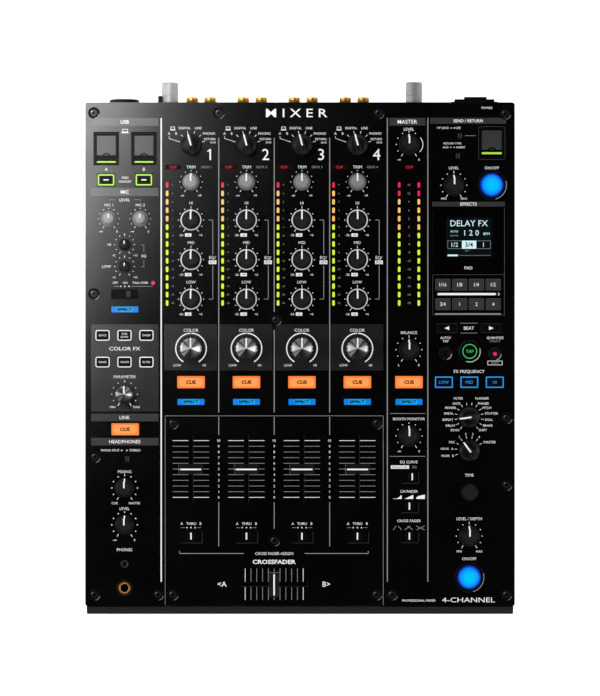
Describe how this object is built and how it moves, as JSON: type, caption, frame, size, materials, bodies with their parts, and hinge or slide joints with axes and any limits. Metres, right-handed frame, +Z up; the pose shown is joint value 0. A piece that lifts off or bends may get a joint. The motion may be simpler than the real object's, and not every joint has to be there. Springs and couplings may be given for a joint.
{
  "type": "dj mixer",
  "caption": "Club DJ mixer: steel case with channel strips of knobs and faders, a crossfader, lit keys, an effects section with display, and rear audio connectors.",
  "frame": {"origin": "middle of the footprint, on the surface that the feet stand on", "axes": "+Y towards the rear connectors, +X towards the effects section on the right, +Z up"},
  "size_m": [0.333, 0.4132, 0.1079],
  "materials": {
    "case_paint": "fine textured black-grey powder coat",
    "panel_paint": "satin black coat with printed legends",
    "soft_black": "matte soft-touch black",
    "knob_grey": "satin grey",
    "knob_chrome": "bright fluted metal",
    "key_orange": "translucent, lit from below",
    "key_black": "black cap with a lit border",
    "key_blue": "translucent blue dome, lit from below",
    "key_green": "black cap with a lit green ring",
    "board_green": "solder-masked circuit board",
    "gold_plate": "gold-plated connectors on their board",
    "supply_steel": "plain sheet metal",
    "display_glass": "smoked clear window over a black mask",
    "foot_rubber": "black moulded rubber"
  },
  "bodies": {
    "chassis": {"bottom_tray": "case_paint", "top_panel": "panel_paint", "fader_panel": "panel_paint", "rear_panel": "case_paint", "fx_display_panel": "display_glass", "control_board": "board_green", "main_board": "board_green", "power_supply": "supply_steel", "rear_jack_board": "gold_plate", "foot_front_left": "foot_rubber", "foot_front_right": "foot_rubber", "foot_rear_left": "foot_rubber", "foot_rear_right": "foot_rubber"},
    "channel_fader_1": {"channel_fader_1": "soft_black"},
    "crossfader": {"crossfader": "soft_black"},
    "input_selector_1": {"input_selector_1": "soft_black"},
    "trim_knob_1": {"trim_knob_1": "knob_grey"},
    "eq_high_1": {"eq_high_1": "soft_black"},
    "color_knob_1": {"color_knob_1": "knob_chrome"},
    "cue_keys": {"cue_keys": "key_orange"},
    "color_fx_keys": {"color_fx_keys": "key_black"},
    "fx_frequency_keys": {"fx_frequency_keys": "key_black"},
    "fx_on_button": {"fx_on_button": "key_blue"},
    "send_on_button": {"send_on_button": "key_blue"},
    "tap_button": {"tap_button": "key_green"},
    "power_switch": {"power_switch": "soft_black"},
    "fx_selector": {"fx_selector": "soft_black"},
    "fx_channel_selector": {"fx_channel_selector": "soft_black"},
    "time_encoder": {"time_encoder": "soft_black"},
    "master_level_knob": {"master_level_knob": "soft_black"},
    "balance_knob": {"balance_knob": "soft_black"},
    "booth_level_knob": {"booth_level_knob": "soft_black"},
    "headphone_mix_knob": {"headphone_mix_knob": "soft_black"},
    "headphone_level_knob": {"headphone_level_knob": "soft_black"},
    "parameter_knob": {"parameter_knob": "knob_chrome"},
    "send_level_knob": {"send_level_knob": "soft_black"},
    "fx_depth_knob": {"fx_depth_knob": "soft_black"},
    "channel_fader_2": {"channel_fader_2": "soft_black"},
    "channel_fader_3": {"channel_fader_3": "soft_black"},
    "channel_fader_4": {"channel_fader_4": "soft_black"},
    "input_selector_2": {"input_selector_2": "soft_black"},
    "trim_knob_2": {"trim_knob_2": "knob_grey"},
    "color_knob_2": {"color_knob_2": "knob_chrome"},
    "input_selector_3": {"input_selector_3": "soft_black"},
    "trim_knob_3": {"trim_knob_3": "knob_grey"},
    "color_knob_3": {"color_knob_3": "knob_chrome"},
    "input_selector_4": {"input_selector_4": "soft_black"},
    "trim_knob_4": {"trim_knob_4": "knob_grey"},
    "color_knob_4": {"color_knob_4": "knob_chrome"},
    "eq_mid_1": {"eq_mid_1": "soft_black"},
    "eq_low_1": {"eq_low_1": "soft_black"},
    "eq_high_2": {"eq_high_2": "soft_black"},
    "eq_mid_2": {"eq_mid_2": "soft_black"},
    "eq_low_2": {"eq_low_2": "soft_black"},
    "eq_high_3": {"eq_high_3": "soft_black"},
    "eq_mid_3": {"eq_mid_3": "soft_black"},
    "eq_low_3": {"eq_low_3": "soft_black"},
    "eq_high_4": {"eq_high_4": "soft_black"},
    "eq_mid_4": {"eq_mid_4": "soft_black"},
    "eq_low_4": {"eq_low_4": "soft_black"}
  },
  "joints": [
    {"name": "channel_fader_1_slide", "type": "slide", "parent": "chassis", "child": "channel_fader_1", "axis": [0, 1, 0], "range_m": [-0.0225, 0.0225]},
    {"name": "crossfader_slide", "type": "slide", "parent": "chassis", "child": "crossfader", "axis": [1, 0, 0], "range_m": [-0.0225, 0.0225]},
    {"name": "input_selector_1_turn", "type": "hinge", "parent": "chassis", "child": "input_selector_1", "pos_m": [-0.0845, 0.1575, 0.09], "axis": [0, 0, 1], "range_deg": [-90, 60]},
    {"name": "trim_knob_1_turn", "type": "hinge", "parent": "chassis", "child": "trim_knob_1", "pos_m": [-0.0845, 0.1288, 0.09], "axis": [0, 0, 1], "range_deg": [-150, 150]},
    {"name": "eq_high_1_turn", "type": "hinge", "parent": "chassis", "child": "eq_high_1", "pos_m": [-0.0845, 0.0992, 0.09], "axis": [0, 0, 1], "range_deg": [-150, 150]},
    {"name": "color_knob_1_turn", "type": "hinge", "parent": "chassis", "child": "color_knob_1", "pos_m": [-0.0845, -0.0004, 0.09], "axis": [0, 0, 1], "range_deg": [-150, 150]},
    {"name": "cue_keys_press", "type": "slide", "parent": "chassis", "child": "cue_keys", "axis": [0, 0, -1], "range_m": [0, 0.0012], "stiffness_N_per_m": 700},
    {"name": "color_fx_keys_press", "type": "slide", "parent": "chassis", "child": "color_fx_keys", "axis": [0, 0, -1], "range_m": [0, 0.0012], "stiffness_N_per_m": 700},
    {"name": "fx_frequency_keys_press", "type": "slide", "parent": "chassis", "child": "fx_frequency_keys", "axis": [0, 0, -1], "range_m": [0, 0.0012], "stiffness_N_per_m": 700},
    {"name": "fx_on_button_press", "type": "slide", "parent": "chassis", "child": "fx_on_button", "axis": [0, 0, -1], "range_m": [0, 0.0015], "stiffness_N_per_m": 700},
    {"name": "send_on_button_press", "type": "slide", "parent": "chassis", "child": "send_on_button", "axis": [0, 0, -1], "range_m": [0, 0.0015], "stiffness_N_per_m": 700},
    {"name": "tap_button_press", "type": "slide", "parent": "chassis", "child": "tap_button", "axis": [0, 0, -1], "range_m": [0, 0.0012], "stiffness_N_per_m": 700},
    {"name": "power_switch_rock", "type": "hinge", "parent": "chassis", "child": "power_switch", "pos_m": [0.137, 0.1845, 0.07], "axis": [1, 0, 0], "range_deg": [-14, 0]},
    {"name": "fx_selector_turn", "type": "hinge", "parent": "chassis", "child": "fx_selector", "pos_m": [0.1312, -0.0536, 0.09], "axis": [0, 0, 1], "range_deg": [-242, 44]},
    {"name": "fx_channel_selector_turn", "type": "hinge", "parent": "chassis", "child": "fx_channel_selector", "pos_m": [0.1312, -0.0795, 0.09], "axis": [0, 0, 1], "range_deg": [-96, 72]},
    {"name": "time_encoder_turn", "type": "hinge", "parent": "chassis", "child": "time_encoder", "pos_m": [0.1312, -0.1116, 0.09], "axis": [0, 0, 1], "continuous": true},
    {"name": "master_level_knob_turn", "type": "hinge", "parent": "chassis", "child": "master_level_knob", "pos_m": [0.0845, 0.1578, 0.09], "axis": [0, 0, 1], "range_deg": [-150, 150]},
    {"name": "balance_knob_turn", "type": "hinge", "parent": "chassis", "child": "balance_knob", "pos_m": [0.0845, -0.0013, 0.09], "axis": [0, 0, 1], "range_deg": [-150, 150]},
    {"name": "booth_level_knob_turn", "type": "hinge", "parent": "chassis", "child": "booth_level_knob", "pos_m": [0.0845, -0.0682, 0.09], "axis": [0, 0, 1], "range_deg": [-150, 150]},
    {"name": "headphone_mix_knob_turn", "type": "hinge", "parent": "chassis", "child": "headphone_mix_knob", "pos_m": [-0.136, -0.1085, 0.09], "axis": [0, 0, 1], "range_deg": [-150, 150]},
    {"name": "headphone_level_knob_turn", "type": "hinge", "parent": "chassis", "child": "headphone_level_knob", "pos_m": [-0.136, -0.1371, 0.09], "axis": [0, 0, 1], "range_deg": [-150, 150]},
    {"name": "parameter_knob_turn", "type": "hinge", "parent": "chassis", "child": "parameter_knob", "pos_m": [-0.136, -0.0358, 0.09], "axis": [0, 0, 1], "range_deg": [-150, 150]},
    {"name": "send_level_knob_turn", "type": "hinge", "parent": "chassis", "child": "send_level_knob", "pos_m": [0.1193, 0.1262, 0.09], "axis": [0, 0, 1], "range_deg": [-150, 150]},
    {"name": "fx_depth_knob_turn", "type": "hinge", "parent": "chassis", "child": "fx_depth_knob", "pos_m": [0.1312, -0.1458, 0.09], "axis": [0, 0, 1], "range_deg": [-150, 150]},
    {"name": "channel_fader_2_slide", "type": "slide", "parent": "chassis", "child": "channel_fader_2", "axis": [0, 1, 0], "range_m": [-0.0225, 0.0225]},
    {"name": "channel_fader_3_slide", "type": "slide", "parent": "chassis", "child": "channel_fader_3", "axis": [0, 1, 0], "range_m": [-0.0225, 0.0225]},
    {"name": "channel_fader_4_slide", "type": "slide", "parent": "chassis", "child": "channel_fader_4", "axis": [0, 1, 0], "range_m": [-0.0225, 0.0225]},
    {"name": "input_selector_2_turn", "type": "hinge", "parent": "chassis", "child": "input_selector_2", "pos_m": [-0.0415, 0.1575, 0.09], "axis": [0, 0, 1], "range_deg": [-90, 60]},
    {"name": "trim_knob_2_turn", "type": "hinge", "parent": "chassis", "child": "trim_knob_2", "pos_m": [-0.0415, 0.1288, 0.09], "axis": [0, 0, 1], "range_deg": [-150, 150]},
    {"name": "color_knob_2_turn", "type": "hinge", "parent": "chassis", "child": "color_knob_2", "pos_m": [-0.0415, -0.0004, 0.09], "axis": [0, 0, 1], "range_deg": [-150, 150]},
    {"name": "input_selector_3_turn", "type": "hinge", "parent": "chassis", "child": "input_selector_3", "pos_m": [0.0015, 0.1575, 0.09], "axis": [0, 0, 1], "range_deg": [-90, 60]},
    {"name": "trim_knob_3_turn", "type": "hinge", "parent": "chassis", "child": "trim_knob_3", "pos_m": [0.0015, 0.1288, 0.09], "axis": [0, 0, 1], "range_deg": [-150, 150]},
    {"name": "color_knob_3_turn", "type": "hinge", "parent": "chassis", "child": "color_knob_3", "pos_m": [0.0015, -0.0004, 0.09], "axis": [0, 0, 1], "range_deg": [-150, 150]},
    {"name": "input_selector_4_turn", "type": "hinge", "parent": "chassis", "child": "input_selector_4", "pos_m": [0.0445, 0.1575, 0.09], "axis": [0, 0, 1], "range_deg": [-90, 60]},
    {"name": "trim_knob_4_turn", "type": "hinge", "parent": "chassis", "child": "trim_knob_4", "pos_m": [0.0445, 0.1288, 0.09], "axis": [0, 0, 1], "range_deg": [-150, 150]},
    {"name": "color_knob_4_turn", "type": "hinge", "parent": "chassis", "child": "color_knob_4", "pos_m": [0.0445, -0.0004, 0.09], "axis": [0, 0, 1], "range_deg": [-150, 150]},
    {"name": "eq_mid_1_turn", "type": "hinge", "parent": "chassis", "child": "eq_mid_1", "pos_m": [-0.0845, 0.0685, 0.09], "axis": [0, 0, 1], "range_deg": [-150, 150]},
    {"name": "eq_low_1_turn", "type": "hinge", "parent": "chassis", "child": "eq_low_1", "pos_m": [-0.0845, 0.0379, 0.09], "axis": [0, 0, 1], "range_deg": [-150, 150]},
    {"name": "eq_high_2_turn", "type": "hinge", "parent": "chassis", "child": "eq_high_2", "pos_m": [-0.0415, 0.0992, 0.09], "axis": [0, 0, 1], "range_deg": [-150, 150]},
    {"name": "eq_mid_2_turn", "type": "hinge", "parent": "chassis", "child": "eq_mid_2", "pos_m": [-0.0415, 0.0685, 0.09], "axis": [0, 0, 1], "range_deg": [-150, 150]},
    {"name": "eq_low_2_turn", "type": "hinge", "parent": "chassis", "child": "eq_low_2", "pos_m": [-0.0415, 0.0379, 0.09], "axis": [0, 0, 1], "range_deg": [-150, 150]},
    {"name": "eq_high_3_turn", "type": "hinge", "parent": "chassis", "child": "eq_high_3", "pos_m": [0.0015, 0.0992, 0.09], "axis": [0, 0, 1], "range_deg": [-150, 150]},
    {"name": "eq_mid_3_turn", "type": "hinge", "parent": "chassis", "child": "eq_mid_3", "pos_m": [0.0015, 0.0685, 0.09], "axis": [0, 0, 1], "range_deg": [-150, 150]},
    {"name": "eq_low_3_turn", "type": "hinge", "parent": "chassis", "child": "eq_low_3", "pos_m": [0.0015, 0.0379, 0.09], "axis": [0, 0, 1], "range_deg": [-150, 150]},
    {"name": "eq_high_4_turn", "type": "hinge", "parent": "chassis", "child": "eq_high_4", "pos_m": [0.0445, 0.0992, 0.09], "axis": [0, 0, 1], "range_deg": [-150, 150]},
    {"name": "eq_mid_4_turn", "type": "hinge", "parent": "chassis", "child": "eq_mid_4", "pos_m": [0.0445, 0.0685, 0.09], "axis": [0, 0, 1], "range_deg": [-150, 150]},
    {"name": "eq_low_4_turn", "type": "hinge", "parent": "chassis", "child": "eq_low_4", "pos_m": [0.0445, 0.0379, 0.09], "axis": [0, 0, 1], "range_deg": [-150, 150]}
  ]
}
